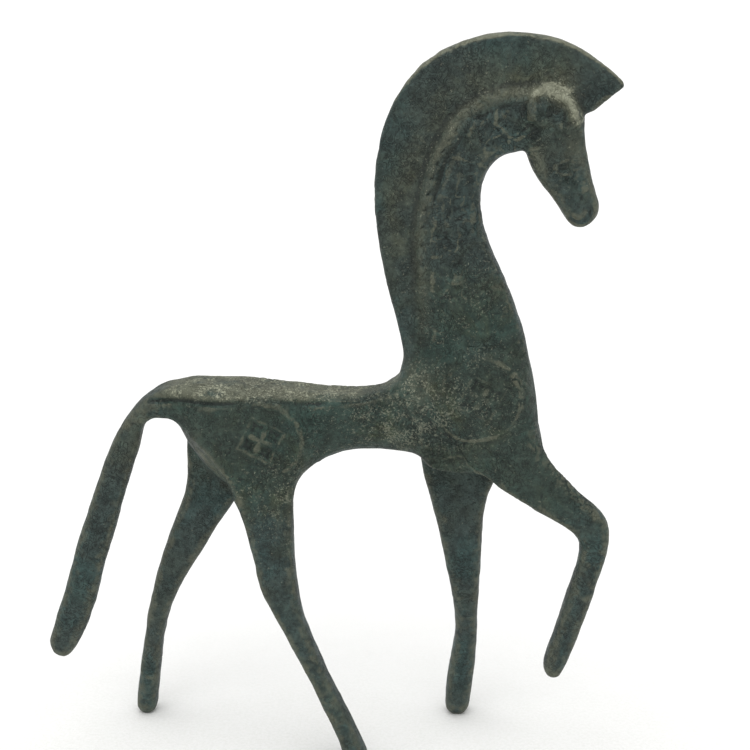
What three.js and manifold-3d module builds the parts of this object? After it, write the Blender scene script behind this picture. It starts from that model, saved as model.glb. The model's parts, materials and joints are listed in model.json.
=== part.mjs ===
// A small bronze horse in the early Greek manner: a flat, rounded casting with an arched neck, a tall crescent mane
// and a long hanging tail. It walks on three feet, with the right foreleg raised.
//
// Frame: +X is where the horse looks, +Z is up, and its right side is at -Y. The origin is on the ground, under the
// middle of the whole figure. Millimetres.
//
// The castings are laid together as the founder lays them: a trunk with a web down the middle, four legs whose flat
// thighs and shoulders are let into its sides, a neck notched over the trunk, a mane let into the neck's outer edge,
// and cast medallions, ears and eye rings set on the sides. Every joint keeps the brazing gap.
import * as THREE from "three";
import { mergeVertices } from "three/addons/utils/BufferGeometryUtils.js";
import Module from "manifold-3d";

const wasm = await Module();
wasm.setup();

// Overall sizes
const height = 145; // soles to the top of the mane
const length = 113.5; // tail tip to the raised knee
const rightSpread = 10; // middle plane to the middle of the right hind sole
const leftHindSpread = 9.2; // middle plane to the middle of the left hind sole
const leftForeSpread = 12.5; // middle plane to the middle of the left fore sole
const raisedSpread = 6; // middle plane to the middle of the raised right hoof

// Thicknesses, all across the horse
const bodyThickness = 11; // trunk and chest
const croupThickness = 8.5; // where the tail leaves the trunk
const neckThickness = 8.6; // halfway up the neck
const pollThickness = 8; // where the neck meets the head
const muzzleThickness = 5.4;
const maneThickness = 4.6;
const tailThickness = 4.4;
const legThickness = 5;
const slabThickness = 3.6; // the flat thigh or shoulder at the top of a leg

// Joints
const brazeGap = 0.3;
const slabProud = 0.7; // how far a thigh or shoulder stands out of the body's side
const maneTongue = 1.5; // how deep the mane is let into the neck and the head

// Applied work
const medallionRadius = 7.5;
const medallionThickness = 1;
const reliefHeight = 0.45; // rings and bars above the medallion's field
const reliefWidth = 0.9;
const windowSide = 6.6; // the quartered square inside the ring
const windowTurn = THREE.MathUtils.degToRad(28); // clockwise, seen from outside
const medallionSides = 36;
const earRadius = 3.4;
const earOpening = 2; // radius of the ear's hollow
const earLeg = 2.4; // straight part below the ear's arch
const earLean = 16; // degrees that the arch leans towards the muzzle
const earHeight = 1.3;
const eyeRadius = 1.35; // to the middle of the ring
const eyeWire = 0.5; // radius of the ring's section

// The side-view outlines below are drawn for these two sizes and stretched to the ones asked for.
const drawnHeight = 145;
const drawnLength = 113.5;
const along = (x) => (x * length) / drawnLength;
const up = (z) => (z * height) / drawnHeight;

const bronze = new THREE.MeshStandardMaterial({ color: 0x3e4743, roughness: 0.55, metalness: 0.6 });
const wornBronze = new THREE.MeshStandardMaterial({ color: 0x6a7061, roughness: 0.5, metalness: 0.6 });

const smooth = THREE.MathUtils.smoothstep; // smooth(value, low, high) runs from 0 to 1
const lerp = THREE.MathUtils.lerp;

// A piece of the casting is a flat bar between two edge lines seen from the side. Each station gives a point on each
// edge as [edge x, edge z, other edge x, other edge z], and the bar's middle and thickness follow the height z.
const cornerSteps = 2;
const ringSides = 4 * (cornerSteps + 1);

// Point i round a rounded rectangle of these half sizes, as [along the width, along the thickness].
function sectionPoint(i, halfWidth, halfThickness, corner) {
  const quarter = Math.floor(i / (cornerSteps + 1));
  const radius = Math.min(corner, 0.95 * halfWidth, 0.95 * halfThickness);
  const angle = (quarter + (i % (cornerSteps + 1)) / cornerSteps) * (Math.PI / 2);
  const [acrossSign, outSign] = [[1, 1], [-1, 1], [-1, -1], [1, -1]][quarter];
  return [
    acrossSign * (halfWidth - radius) + radius * Math.cos(angle),
    outSign * (halfThickness - radius) + radius * Math.sin(angle),
  ];
}

// The bar's section at each step: both edge points, with the bar's middle plane as their y, and its thickness.
function barSections(piece) {
  const { stations, middle, thickness, steps } = piece;
  const heights = stations.map(([, az, , bz]) => (az + bz) / 2);
  const edge = (x, z) =>
    new THREE.CatmullRomCurve3(
      stations.map((s, i) => new THREE.Vector3(along(s[x]), middle(heights[i]), up(s[z]))),
    );
  const edgeA = edge(0, 1);
  const edgeB = edge(2, 3);
  const build = new THREE.CatmullRomCurve3(
    stations.map((s, i) => new THREE.Vector3(thickness(heights[i], i), 0, 0)),
  );
  return Array.from({ length: steps + 1 }, (_, row) => {
    const t = row / steps;
    return { a: edgeA.getPoint(t), b: edgeB.getPoint(t), thickness: build.getPoint(t).x };
  });
}

// The bar as a closed geometry: an open-and-shut cylinder whose rings are moved onto the sections. grow makes it
// larger on every side, as the tool that cuts a seat for it.
function barGeometry(piece, grow = 0) {
  const { corner, taper = 1, steps } = piece;
  const sections = barSections(piece);
  const middles = sections.map(({ a, b }) => a.clone().add(b).multiplyScalar(0.5));
  const firstPush = middles[0].clone().sub(middles[1]).setLength(grow);
  const lastPush = middles[steps].clone().sub(middles[steps - 1]).setLength(grow);
  middles[0].add(firstPush);
  middles[steps].add(lastPush);

  const geometry = new THREE.CylinderGeometry(1, 1, 1, ringSides, steps);
  const position = geometry.attributes.position;
  const vertex = new THREE.Vector3();
  for (let i = 0; i < position.count; i++) {
    vertex.fromBufferAttribute(position, i);
    const row = Math.round((0.5 - vertex.y) * steps);
    const onRim = Math.hypot(vertex.x, vertex.z) > 0.5;
    const { a, b, thickness } = sections[row];
    const acrossAxis = b.clone().sub(a);
    const halfWidth = acrossAxis.length() / 2 + grow;
    acrossAxis.normalize();
    vertex.copy(middles[row]);
    if (onRim) {
      const turn = Math.atan2(position.getX(i), position.getZ(i)) / (2 * Math.PI);
      const ring = (Math.round(turn * ringSides) + ringSides) % ringSides;
      const [w, h] = sectionPoint(ring, halfWidth, thickness / 2 + grow, corner + grow);
      const thinning = lerp(1, taper, (w / halfWidth + 1) / 2);
      vertex.addScaledVector(acrossAxis, w);
      vertex.y += h * thinning;
    }
    position.setXYZ(i, vertex.x, vertex.y, vertex.z);
  }
  return geometry;
}

// A closed three.js geometry as a manifold-3d solid, with its faces turned outwards.
function solidOf(geometry) {
  const bare = geometry.index ? geometry.toNonIndexed() : geometry.clone();
  bare.deleteAttribute("normal");
  bare.deleteAttribute("uv");
  const merged = mergeVertices(bare, 1e-4);
  const vertProperties = merged.attributes.position.array;
  const corners = Array.from(merged.index.array);
  const make = (triVerts) => new wasm.Manifold(new wasm.Mesh({ numProp: 3, vertProperties, triVerts }));
  const made = make(new Uint32Array(corners));
  return made.volume() > 0 ? made : make(new Uint32Array(corners.reverse()));
}

function meshOf(name, solid, material) {
  const { vertProperties, triVerts, numProp } = solid.getMesh();
  const points = vertProperties.filter((_, i) => i % numProp < 3);
  const geometry = new THREE.BufferGeometry();
  geometry.setAttribute("position", new THREE.BufferAttribute(new Float32Array(points), 3));
  geometry.setIndex(new THREE.BufferAttribute(triVerts, 1));
  geometry.computeVertexNormals();
  const mesh = new THREE.Mesh(geometry, material);
  mesh.name = name;
  return mesh;
}

const barSolid = (piece, grow = 0) => solidOf(barGeometry(piece, grow));
const seatFor = (piece) => barSolid(piece, brazeGap);
const notchFor = (piece) => barSolid({ ...piece, thickness: () => 3 * bodyThickness, taper: 1 }, brazeGap);
const cutBy = (solid, tools) => tools.reduce((rest, tool) => rest.subtract(tool), solid);

// Trunk: from the tail's root to a tongue inside the neck. Edge a is the back, edge b the belly and groin.
const trunkThinning = 0.75; // the belly's thickness over the back's
const trunk = {
  stations: [
    [-28, 78.3, -27.2, 71.1],
    [-24, 79, -24.5, 65.5],
    [-18, 79, -18.5, 58.5],
    [-11, 78.8, -11.5, 55.2],
    [-5, 78, -4.6, 58],
    [0, 77.4, 0.5, 62.7],
    [6, 77.1, 6.5, 65.4],
    [12, 77.7, 12.5, 65.8],
    [18, 80.2, 18.5, 65],
    [25, 80.8, 25, 63.8],
  ],
  middle: () => 0,
  thickness: (z, i) => [croupThickness, lerp(croupThickness, bodyThickness, 0.7)][i] ?? bodyThickness,
  corner: 3.4,
  taper: trunkThinning,
  steps: 20,
};

// Neck and chest: from between the forelegs up to the poll. Edge a is where the mane grows, edge b chest and throat.
const neckBuild = (z) =>
  z < 96
    ? lerp(bodyThickness, neckThickness, smooth(z, 74, 96))
    : lerp(neckThickness, pollThickness, smooth(z, 96, 128));
const neck = {
  stations: [
    [21.4, 62.5, 41, 61.5],
    [20, 68, 44.3, 66],
    [19, 74, 43.3, 71],
    [19, 80, 42.7, 76],
    [20, 87, 41.5, 83],
    [20, 95, 39.5, 91],
    [19.6, 103, 36.5, 98.5],
    [20, 111, 33.4, 105.5],
    [21, 119, 31.4, 111.2],
    [23, 125.5, 31.1, 116.4],
    [27, 130.5, 32.3, 120.4],
    [32, 133.8, 34.6, 123],
    [37, 135, 37, 123.7],
    [41, 135.4, 38.9, 124.2],
  ],
  middle: () => 0,
  thickness: neckBuild,
  corner: 2.2,
  taper: 0.9,
  steps: 25,
};

// Head: from the poll down to the muzzle. Edge a is the jaw, edge b the crown, forehead and nose.
const headBuild = (z) => lerp(muzzleThickness, pollThickness, smooth(z, 110, 130));
const pollShift = (brazeGap * drawnLength) / length;
const head = {
  stations: [
    [38.9 + pollShift, 124.2, 41 + pollShift, 135.4],
    [39.6, 122.6, 45.6, 134.6],
    [40.4, 120.6, 49, 130.7],
    [41.8, 118.3, 49.6, 126],
    [43.6, 116, 50.6, 121.5],
    [45.4, 113.6, 51.7, 117.2],
    [46.9, 111.4, 52.8, 113.9],
    [48.2, 110.2, 52.4, 112],
    [49.4, 110, 51.3, 110.8],
  ],
  middle: () => 0,
  thickness: headBuild,
  corner: 1.5,
  steps: 15,
};

// Mane: a thin crescent from the withers to a point over the forehead. Edge a is its free rim. Edge b runs a tongue's
// depth inside the neck's outer edge and the head's crown, and comes free of them at the forehead.
const maneRims = [
  [18, 79.8],
  [16.6, 87.5],
  [14.6, 96],
  [12.7, 104.5],
  [11.5, 113.5],
  [12.1, 123.5],
  [14.7, 132],
  [20, 139.2],
  [28.6, 143.8],
  [37.4, 145],
  [44.4, 143.8],
  [50.2, 141],
  [53.6, 138.6],
  [55.8, 136.6],
  [56.3, 135.8],
];
const maneRoots = [
  ...neck.stations.slice(3).map(([x, z]) => [x, z]),
  [45.6, 134.6],
  [50, 130.8],
  [53.2, 133.2],
  [55.5, 135],
];
const freeRoots = 3; // roots past the forehead, which no neighbour holds
const mane = {
  stations: maneRims.map(([rimX, rimZ], i) => {
    const [rootX, rootZ] = maneRoots[i];
    const inward = new THREE.Vector2(rootX - rimX, rootZ - rimZ).setLength(
      i < maneRims.length - freeRoots ? maneTongue : 0,
    );
    return [rimX, rimZ, rootX + inward.x, rootZ + inward.y];
  }),
  middle: () => 0,
  thickness: () => maneThickness,
  corner: 1.1,
  steps: 32,
};

// Tail: from the croup to a blunt tip short of the ground. Edge a is its outer side.
const tailGap = (brazeGap * drawnLength) / length;
const tail = {
  stations: [
    [-28 - tailGap, 78.3, -27.2 - tailGap, 71.1],
    [-30.6, 77.2, -29.9, 71.6],
    [-33.3, 75.6, -31.9, 71.4],
    [-35.9, 72.9, -33.4, 70.2],
    [-38.7, 69, -34.4, 67.4],
    [-41.3, 63.8, -35.9, 62],
    [-44.3, 56, -38.6, 54.2],
    [-47.2, 48.3, -41.1, 46.4],
    [-49.9, 40.2, -43.7, 38.4],
    [-52.5, 32, -46.1, 30.2],
    [-54.9, 24.8, -48.9, 23.4],
    [-56, 21, -51, 19.4],
    [-55.3, 18.9, -52.4, 18],
  ],
  middle: () => 0,
  thickness: (z) => lerp(tailThickness, croupThickness, smooth(z, 66, 75)),
  corner: 1.5,
  steps: 20,
};

// Legs. A thigh or shoulder is a slab let into the body's side, and below it the leg thickens and leans outwards.
const slabMiddle = bodyThickness / 2 + slabProud - slabThickness / 2;
const legBuild = (z) => lerp(legThickness, slabThickness, smooth(z, 48, 62));
const leanTo = (spread) => (z) => lerp(spread, slabMiddle, smooth(z, -12, 62));

const rightHindLeg = {
  stations: [
    [-20.5, 77.2, -3.5, 77.2],
    [-24.2, 73.8, -1.3, 73.8],
    [-24.3, 69, -0.7, 69],
    [-21.6, 64.8, -1.6, 64.3],
    [-18.2, 60, -3, 60.3],
    [-15.4, 55, -4, 56],
    [-13.5, 49.5, -4.1, 50],
    [-12, 43, -4, 43.5],
    [-10.6, 37, -3.2, 36],
    [-7.9, 31.7, -1.7, 29.8],
    [-4, 24.5, 1.4, 22.4],
    [0.5, 15.2, 5.3, 13.8],
    [4, 7.7, 8.7, 7],
    [5.7, 2.6, 10.6, 2.4],
    [6, 0, 10.9, 0],
  ],
  middle: (z) => -leanTo(rightSpread)(z),
  thickness: legBuild,
  corner: 1.4,
  steps: 24,
};

const leftHindLeg = {
  stations: [
    [-21, 76.4, -7, 76.4],
    [-24.2, 73.4, -4.6, 73.4],
    [-25.8, 69, -4.6, 68.5],
    [-26.4, 64, -6.8, 63],
    [-26.4, 59, -10.6, 57.8],
    [-26.9, 54.5, -16.1, 53.1],
    [-28.7, 49.5, -19.5, 48.2],
    [-31, 43.5, -23, 42.6],
    [-33.4, 37, -26.6, 36.6],
    [-35.6, 29, -30.3, 29.6],
    [-37.2, 22, -32.8, 22.6],
    [-38.6, 15, -34.3, 15.3],
    [-39.7, 8, -35.4, 8],
    [-40.5, 2.5, -36.2, 2.5],
    [-40.6, 0, -36.4, 0],
  ],
  middle: leanTo(leftHindSpread),
  thickness: legBuild,
  corner: 1.4,
  steps: 24,
};

const leftForeleg = {
  stations: [
    [27, 87.2, 36, 87.6],
    [23.4, 83.5, 39.6, 84],
    [22, 78.5, 41.2, 78.5],
    [21, 72, 41.4, 72],
    [19.6, 66.5, 39.8, 66],
    [20.3, 61, 37.2, 60.5],
    [22, 55, 34.4, 55.5],
    [23.8, 48.5, 33.2, 49],
    [25.3, 40.5, 33, 41],
    [26.9, 33, 32.9, 33],
    [28, 26, 32.7, 26],
    [28, 19.5, 32.6, 19.5],
    [27.2, 13.5, 32.4, 13.5],
    [26.4, 7, 31.9, 7],
    [26.2, 2.5, 31.4, 2.5],
    [26.4, 0, 31.1, 0],
  ],
  middle: leanTo(leftForeSpread),
  thickness: legBuild,
  corner: 1.4,
  steps: 24,
};

// The raised leg leans out only a little: its hoof hangs beside the standing one.
const rightForeleg = {
  stations: [
    [27, 87.2, 36, 87.6],
    [23.4, 83.5, 39.6, 84],
    [22, 78.5, 41.4, 78.5],
    [23.6, 73, 42.2, 73.3],
    [27.4, 68.8, 43.4, 69.1],
    [30.8, 64.1, 46.4, 64.2],
    [35.3, 60, 49.6, 60.6],
    [40.3, 56.7, 52.2, 57.9],
    [45.3, 53.7, 54.8, 55.6],
    [49.6, 51.2, 57, 53],
    [51.6, 48.9, 57.6, 50.2],
    [51.9, 46.6, 57.1, 46.6],
    [51, 42, 55.9, 41.8],
    [49.3, 36, 54.3, 36],
    [47.6, 29.5, 52.4, 29.5],
    [46, 24, 50.6, 23.8],
    [45.6, 21.5, 49.6, 21.3],
    [46.4, 20, 48.8, 19.8],
  ],
  middle: (z) => -lerp(raisedSpread, slabMiddle, smooth(z, 20, 66)),
  thickness: legBuild,
  corner: 1.4,
  steps: 28,
};

// Medallions: a disc with a raised rim and a quartered square, sunk flush in a slab's outer face. Built facing +Y.
function medallionSolid() {
  const field = medallionThickness;
  const crest = field + reliefHeight;
  const inner = medallionRadius - reliefWidth;
  const profile = [
    [0, 0],
    [medallionRadius, 0],
    [medallionRadius, crest],
    [inner, crest],
    [inner, field],
    [0, field],
  ].map(([r, y]) => new THREE.Vector2(r, y));
  let solid = solidOf(new THREE.LatheGeometry(profile, medallionSides));
  const barAt = (x, z, sizeX, sizeZ) => {
    const bar = new THREE.BoxGeometry(sizeX, crest - field / 2, sizeZ);
    return solidOf(bar.translate(x, (crest + field / 2) / 2, z).rotateY(-windowTurn));
  };
  for (const place of [-1, 0, 1]) {
    const offset = (place * (windowSide - reliefWidth)) / 2;
    solid = solid.add(barAt(offset, 0, reliefWidth, windowSide));
    solid = solid.add(barAt(0, offset, windowSide, reliefWidth));
  }
  return solid;
}

// Puts a solid built facing +Y at [x, y, z], facing away from the middle plane on the side named.
const onSide = (solid, side, [x, y, z]) =>
  side === "left" ? solid.translate([x, y, z]) : solid.rotate([0, 0, 180]).translate([x, -y, z]);

const slabFace = bodyThickness / 2 + slabProud;
const medallionAt = ([x, z]) => [along(x), slabFace - medallionThickness, up(z)];
const medallionPocket = (side, centre) => {
  const depth = medallionThickness + brazeGap;
  const tool = new THREE.CylinderGeometry(
    medallionRadius + brazeGap,
    medallionRadius + brazeGap,
    depth + slabThickness,
    medallionSides,
  ).translate(0, (slabThickness + medallionThickness - brazeGap) / 2, 0);
  return onSide(solidOf(tool), side, medallionAt(centre));
};
const medallionCentres = {
  right_haunch: [-10, 68.8],
  left_haunch: [-14, 68.2],
  right_shoulder: [32, 78],
  left_shoulder: [32, 78],
};

// Ears and eye rings, built facing +Y and cut to the head's side so that they follow it.
function earSolid(side) {
  const shape = new THREE.Shape();
  shape.moveTo(earRadius, -earLeg);
  shape.lineTo(earRadius, 0);
  shape.absarc(0, 0, earRadius, 0, Math.PI, false);
  shape.lineTo(-earRadius, -earLeg);
  shape.lineTo(-earOpening, -earLeg);
  shape.lineTo(-earOpening, 0);
  shape.absarc(0, 0, earOpening, Math.PI, 0, true);
  shape.lineTo(earOpening, -earLeg);
  shape.closePath();
  const depth = earHeight + 2;
  const arch = new THREE.ExtrudeGeometry(shape, { depth, bevelEnabled: false, curveSegments: 9 });
  arch.rotateZ(THREE.MathUtils.degToRad(side === "right" ? earLean : -earLean));
  return solidOf(arch.rotateX(-Math.PI / 2).rotateY(Math.PI).translate(0, -2, 0)).rotate([180, 0, 180]);
}
const eyeSolid = () => solidOf(new THREE.TorusGeometry(eyeRadius, eyeWire, 8, 18).rotateX(Math.PI / 2));
const earPlace = [43.9, 131.3];
const eyePlace = [46.6, 122];

const seatedOnHead = (solid, side, [x, z], lift) =>
  cutBy(onSide(solid, side, [along(x), headBuild(z) / 2 + lift, up(z)]), [head, mane, neck].map(seatFor));

// Cut every casting for what is let into it, then name it.
const legs = {
  right_hind_leg: [rightHindLeg, "right", "right_haunch"],
  left_hind_leg: [leftHindLeg, "left", "left_haunch"],
  right_foreleg: [rightForeleg, "right", "right_shoulder"],
  left_foreleg: [leftForeleg, "left", "left_shoulder"],
};
const legSeats = Object.values(legs).map(([leg]) => seatFor(leg));

const horse = new THREE.Group();
horse.add(meshOf("trunk", cutBy(barSolid(trunk), legSeats), bronze));
horse.add(meshOf("neck", cutBy(barSolid(neck), [...legSeats, notchFor(trunk), seatFor(mane)]), bronze));
horse.add(meshOf("head", cutBy(barSolid(head), [seatFor(mane)]), bronze));
horse.add(meshOf("mane", cutBy(barSolid(mane), [seatFor(trunk)]), bronze));
horse.add(meshOf("tail", barSolid(tail), bronze));
for (const [name, [leg, side, medallion]] of Object.entries(legs)) {
  const pocket = medallionPocket(side, medallionCentres[medallion]);
  horse.add(meshOf(name, barSolid(leg).subtract(pocket), bronze));
}
for (const [name, centre] of Object.entries(medallionCentres)) {
  const side = name.split("_")[0];
  const solid = onSide(medallionSolid(), side, medallionAt(centre));
  horse.add(meshOf(`${name}_medallion`, solid, wornBronze));
}
for (const side of ["right", "left"]) {
  horse.add(meshOf(`${side}_ear`, seatedOnHead(earSolid(side), side, earPlace, brazeGap), wornBronze));
  horse.add(meshOf(`${side}_eye`, seatedOnHead(eyeSolid(), side, eyePlace, brazeGap), bronze));
}

// Stand the figure on the ground, centred over the origin.
const box = new THREE.Box3().setFromObject(horse);
const centre = box.getCenter(new THREE.Vector3());
horse.position.set(-centre.x, -centre.y, -box.min.z);

export default horse;
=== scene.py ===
"""A small cast bronze horse in the early Greek manner, under an old green-grey patina.

The founder's sections are joined into one skin, the relief is modelled into it, and the skin is parted
again along the same joints, so that each section carries its own share of one unbroken surface.
"""

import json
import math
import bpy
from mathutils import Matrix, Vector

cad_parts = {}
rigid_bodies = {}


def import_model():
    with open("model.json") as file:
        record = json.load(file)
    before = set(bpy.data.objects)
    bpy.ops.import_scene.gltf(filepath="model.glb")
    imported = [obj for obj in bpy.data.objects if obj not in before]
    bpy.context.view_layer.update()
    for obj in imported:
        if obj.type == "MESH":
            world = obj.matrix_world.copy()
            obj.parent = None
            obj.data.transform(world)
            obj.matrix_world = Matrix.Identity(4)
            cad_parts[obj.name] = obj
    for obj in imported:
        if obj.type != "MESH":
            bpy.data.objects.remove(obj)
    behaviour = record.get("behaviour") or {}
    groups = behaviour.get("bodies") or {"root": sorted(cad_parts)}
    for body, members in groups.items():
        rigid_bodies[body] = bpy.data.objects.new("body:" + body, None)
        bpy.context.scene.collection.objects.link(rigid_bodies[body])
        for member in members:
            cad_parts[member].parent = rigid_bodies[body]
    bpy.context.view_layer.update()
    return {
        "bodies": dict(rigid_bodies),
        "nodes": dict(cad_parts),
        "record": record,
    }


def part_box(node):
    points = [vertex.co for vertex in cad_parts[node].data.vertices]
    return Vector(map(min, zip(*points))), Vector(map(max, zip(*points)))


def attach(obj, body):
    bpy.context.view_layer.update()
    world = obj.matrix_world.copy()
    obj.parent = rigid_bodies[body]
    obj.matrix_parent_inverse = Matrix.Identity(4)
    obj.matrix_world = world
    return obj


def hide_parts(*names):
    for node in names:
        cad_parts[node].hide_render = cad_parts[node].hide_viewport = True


bl_info = {
    "name": "Cast bronze horse",
    "version": (1, 0, 0),
    "blender": (4, 5, 0),
    "location": "3D View > Sidebar > Bronze horse",
    "description": "Models and patinates a small cast bronze horse over its founder's sections",
    "category": "Object",
}

import bmesh
import bpy
import numpy as np
from bpy.props import (
    FloatProperty,
    FloatVectorProperty,
    IntProperty,
    PointerProperty,
)
from bpy.types import Operator, Panel, PropertyGroup
from mathutils import Matrix, Vector
from mathutils.bvhtree import BVHTree
from mathutils.kdtree import KDTree

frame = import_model()

MM = 0.001
BODY = next(iter(frame["bodies"]))
NODES = frame["nodes"]
CASTING = "casting"
RIGHT, LEFT = -1, 1
SMALL = ("_medallion", "_ear", "_eye")
# How far apart two corners may be and still be the same one, and the facets of blanks and cutters.
SAME = 0.002 * MM
BLANK_GRAIN = 0.6 * MM
CUTTER_GRAIN = 0.7 * MM
# How high the soles' edges are rounded, in millimetres, and the share of the way in that they are slid.
SOLE_ROUND = 2.4
SOLE_PULL = 0.34
# What the skin carries at each point for the patina and for its painted light and shade.
WEAR_AND_LIGHT_LAYERS = ("crest", "rub_and_painted_light", "dust", "moss", "warm")


def span(node):
    """A section's lowest and highest corners in millimetres."""
    low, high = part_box(node)
    return np.array(low) / MM, np.array(high) / MM


MIDDLE = float(np.mean([span("mane")[0][1], span("mane")[1][1]]))


def side_of(node):
    return LEFT if node.startswith("left") else RIGHT


def medallions():
    return [node for node in NODES if node.endswith("_medallion")]


def at(node, *places):
    """Points as (x, z) in millimetres, from shares of the section's box, back to front and low to high."""
    low, high = span(node)
    return [(low[0] + fx * (high[0] - low[0]), low[2] + fz * (high[2] - low[2])) for fx, fz in places]


# --------------------------------------------------------------------------------------------------
# Sizes and colours

# What every length and every colour below has in common.
LENGTH = {"unit": "LENGTH", "precision": 5}
PAINT = {"subtype": "COLOR", "size": 4, "min": 0, "max": 1}


class CastingSettings(PropertyGroup):
    """How finely the skin is made, and how it is softened."""

    grain: FloatProperty(
        name="Grain", description="Width of the skin's facets", default=0.3 * MM, **LENGTH
    )
    gap_fill: FloatProperty(
        name="Braze", description="How far the sections swell to close their joints",
        default=0.15 * MM, **LENGTH,
    )
    softening: IntProperty(name="Softening", description="Rounds of smoothing over every edge", default=2)
    blending: IntProperty(name="Blending", description="Rounds of smoothing over the joints", default=260)
    lump_height: FloatProperty(
        name="Lumps", description="Height of the modelling's broad unevenness",
        default=0.12 * MM, **LENGTH,
    )
    stroke_depth: FloatProperty(
        name="Strokes", description="Depth of the tool strokes left in the wax", default=0.14 * MM, **LENGTH,
    )


class ReliefSettings(PropertyGroup):
    """The modelled relief."""

    bar_swell: FloatProperty(
        name="Back swell", description="How far the back's bar stands out over the flank",
        default=0.55 * MM, **LENGTH,
    )
    crease_depth: FloatProperty(
        name="Crease", description="Depth of the line under the back's bar", default=0.75 * MM, **LENGTH,
    )
    flank_hollow: FloatProperty(
        name="Flank hollow", description="How far the flank sinks between thigh and shoulder",
        default=0.45 * MM, **LENGTH,
    )
    seam_height: FloatProperty(
        name="Seam lines", description="Height of the raised lines along thigh and shoulder",
        default=0.35 * MM, **LENGTH,
    )
    ring_height: FloatProperty(
        name="Medallion ring", description="Height of the rings on thigh and shoulder",
        default=0.30 * MM, **LENGTH,
    )
    window_height: FloatProperty(
        name="Quartered square", description="Depth of the quarters of the square",
        default=0.39 * MM, **LENGTH,
    )
    window_half: FloatProperty(
        name="Square half side", description="Half the side of the quartered square",
        default=3.5 * MM, **LENGTH,
    )
    window_turn: FloatProperty(
        name="Square turn", description="How far the square is turned clockwise", default=math.radians(27),
        subtype="ANGLE",
    )
    neck_lumps: FloatProperty(
        name="Neck lumps", description="Height of the rough band along the neck", default=0.38 * MM, **LENGTH,
    )


class PatinaSettings(PropertyGroup):
    """The colours of the patina."""

    ground: FloatVectorProperty(
        name="Ground", description="Dark green-grey that most of the skin has",
        default=(0.034, 0.053, 0.048, 1), **PAINT,
    )
    teal: FloatVectorProperty(
        name="Teal", description="Colder blue-green patches",
        default=(0.031, 0.063, 0.059, 1), **PAINT,
    )
    umber: FloatVectorProperty(
        name="Umber", description="Brown patches",
        default=(0.042, 0.053, 0.033, 1), **PAINT,
    )
    # Also the colour of the painted highlights.
    rubbed: FloatVectorProperty(
        name="Rubbed", description="Olive brown where hands have rubbed",
        default=(0.135, 0.142, 0.100, 1), **PAINT,
    )
    dust: FloatVectorProperty(
        name="Dust", description="Pale mineral specks",
        default=(0.34, 0.35, 0.26, 1), **PAINT,
    )
    # Also used as painted shade on the narrow face behind the thigh's edge.
    grime: FloatVectorProperty(
        name="Grime", description="Nearly black hollows",
        default=(0.011, 0.017, 0.015, 1), **PAINT,
    )


class StudioSettings(PropertyGroup):
    """The camera, the light and the sheet that the horse stands on."""

    azimuth: FloatProperty(
        name="Azimuth", description="How far the camera stands round towards the front", subtype="ANGLE",
        default=math.radians(3),
    )
    elevation: FloatProperty(
        name="Elevation", description="How far the camera looks down", subtype="ANGLE",
        default=math.radians(18),
    )
    distance: FloatProperty(
        name="Distance", description="From the camera to the point it looks at", unit="LENGTH", default=0.2698
    )
    field: FloatProperty(
        name="Field of view", description="The camera's angle of view", subtype="ANGLE",
        default=math.radians(30),
    )
    ahead: FloatProperty(
        name="Aim ahead", description="How far ahead of the horse's middle the camera looks", unit="LENGTH",
        default=0.0108, precision=4,
    )
    aim_height: FloatProperty(
        name="Aim height", description="Height of the point the camera looks at", unit="LENGTH",
        default=0.0804, precision=4,
    )
    sky: FloatProperty(name="Ambient", description="Strength of the white surroundings", default=0.5)
    key: FloatProperty(name="Overhead light", description="Strength of the broad light overhead", default=2.3)
    spread: FloatProperty(
        name="Spread", description="How broad the overhead light is", subtype="ANGLE",
        default=math.radians(80),
    )
    sheet: FloatVectorProperty(
        name="Sheet", description="Colour of the sheet underneath",
        default=(0.95, 0.95, 0.94, 1), **PAINT,
    )


# --------------------------------------------------------------------------------------------------
# Meshes


def link(name, mesh):
    obj = bpy.data.objects.new(name, mesh)
    bpy.context.scene.collection.objects.link(obj)
    return obj


def baked(bm, name):
    """A new mesh made from a bmesh, which is then done with."""
    mesh = bpy.data.meshes.new(name)
    bm.to_mesh(mesh)
    bm.free()
    return mesh


def drop(obj):
    mesh = obj.data
    bpy.data.objects.remove(obj)
    bpy.data.meshes.remove(mesh)


def settle(obj):
    """Applies an object's modifiers to its mesh."""
    bpy.context.view_layer.update()
    graph = bpy.context.evaluated_depsgraph_get()
    made = bpy.data.meshes.new_from_object(obj.evaluated_get(graph))
    old = obj.data
    obj.modifiers.clear()
    obj.data = made
    bpy.data.meshes.remove(old)
    return obj


def joined_copy(node, swell=0.0):
    """A mesh of one of the founder's sections with its corners joined, swollen by a length."""
    bm = bmesh.new()
    bm.from_mesh(NODES[node].data)
    bmesh.ops.remove_doubles(bm, verts=bm.verts, dist=SAME)
    bm.normal_update()
    if swell:
        push(bm, [swell] * len(bm.verts))
    return baked(bm, "section")


def push(bm, offsets):
    """Moves a bmesh's corners out by the given lengths."""
    moves = [vert.normal * offset for vert, offset in zip(bm.verts, offsets)]
    for vert, move in zip(bm.verts, moves):
        vert.co += move


def tree_of(nodes):
    bm = bmesh.new()
    for node in nodes:
        mesh = joined_copy(node)
        bm.from_mesh(mesh)
        bpy.data.meshes.remove(mesh)
    made = BVHTree.FromBMesh(bm)
    bm.free()
    return made


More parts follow.
